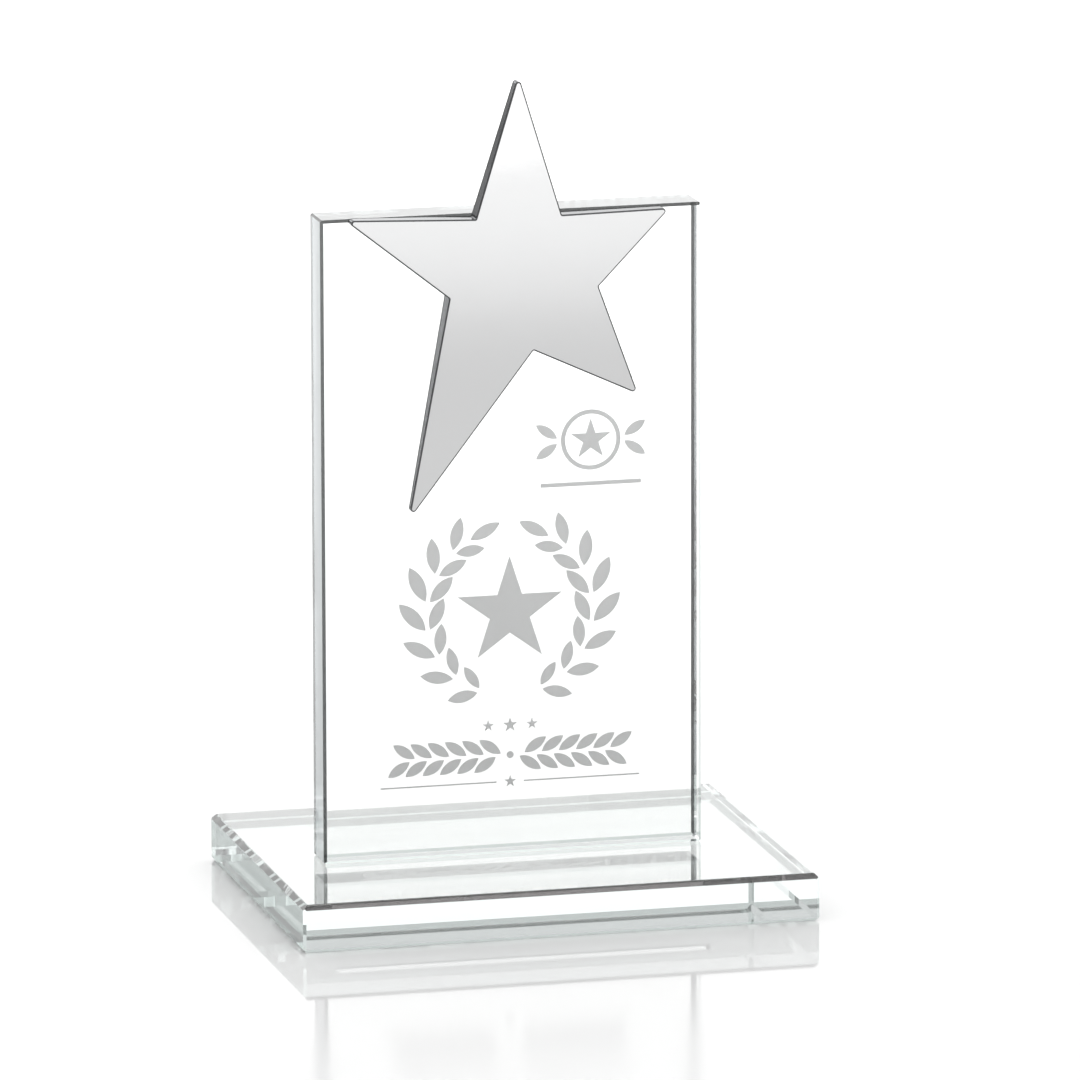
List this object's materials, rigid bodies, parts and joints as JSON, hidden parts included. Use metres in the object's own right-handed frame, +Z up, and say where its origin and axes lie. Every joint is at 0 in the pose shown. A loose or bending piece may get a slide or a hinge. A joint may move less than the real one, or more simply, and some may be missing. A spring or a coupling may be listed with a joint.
{
  "type": "star trophy",
  "caption": "Upright bevelled glass panel bonded to a bevelled glass base, with a chrome-plated star on its front that rises above the top edge and points one long leg down to the left.",
  "frame": {"origin": "centre of the base's underside, which stands on the table", "axes": "+Z up, the star and the etching face -Y, +X to the right as seen from the front"},
  "size_m": [0.164, 0.127, 0.2592],
  "materials": {
    "clear_glass": "low-iron plate, polished faces and polished bevels",
    "clear_adhesive": "clear cured adhesive film",
    "chrome_plate": "bright plated, softly crowned"
  },
  "bodies": {
    "root": {"base": "clear_glass", "panel": "clear_glass", "base_bond": "clear_adhesive", "star": "chrome_plate", "star_bond": "clear_adhesive"}
  },
  "joints": []
}
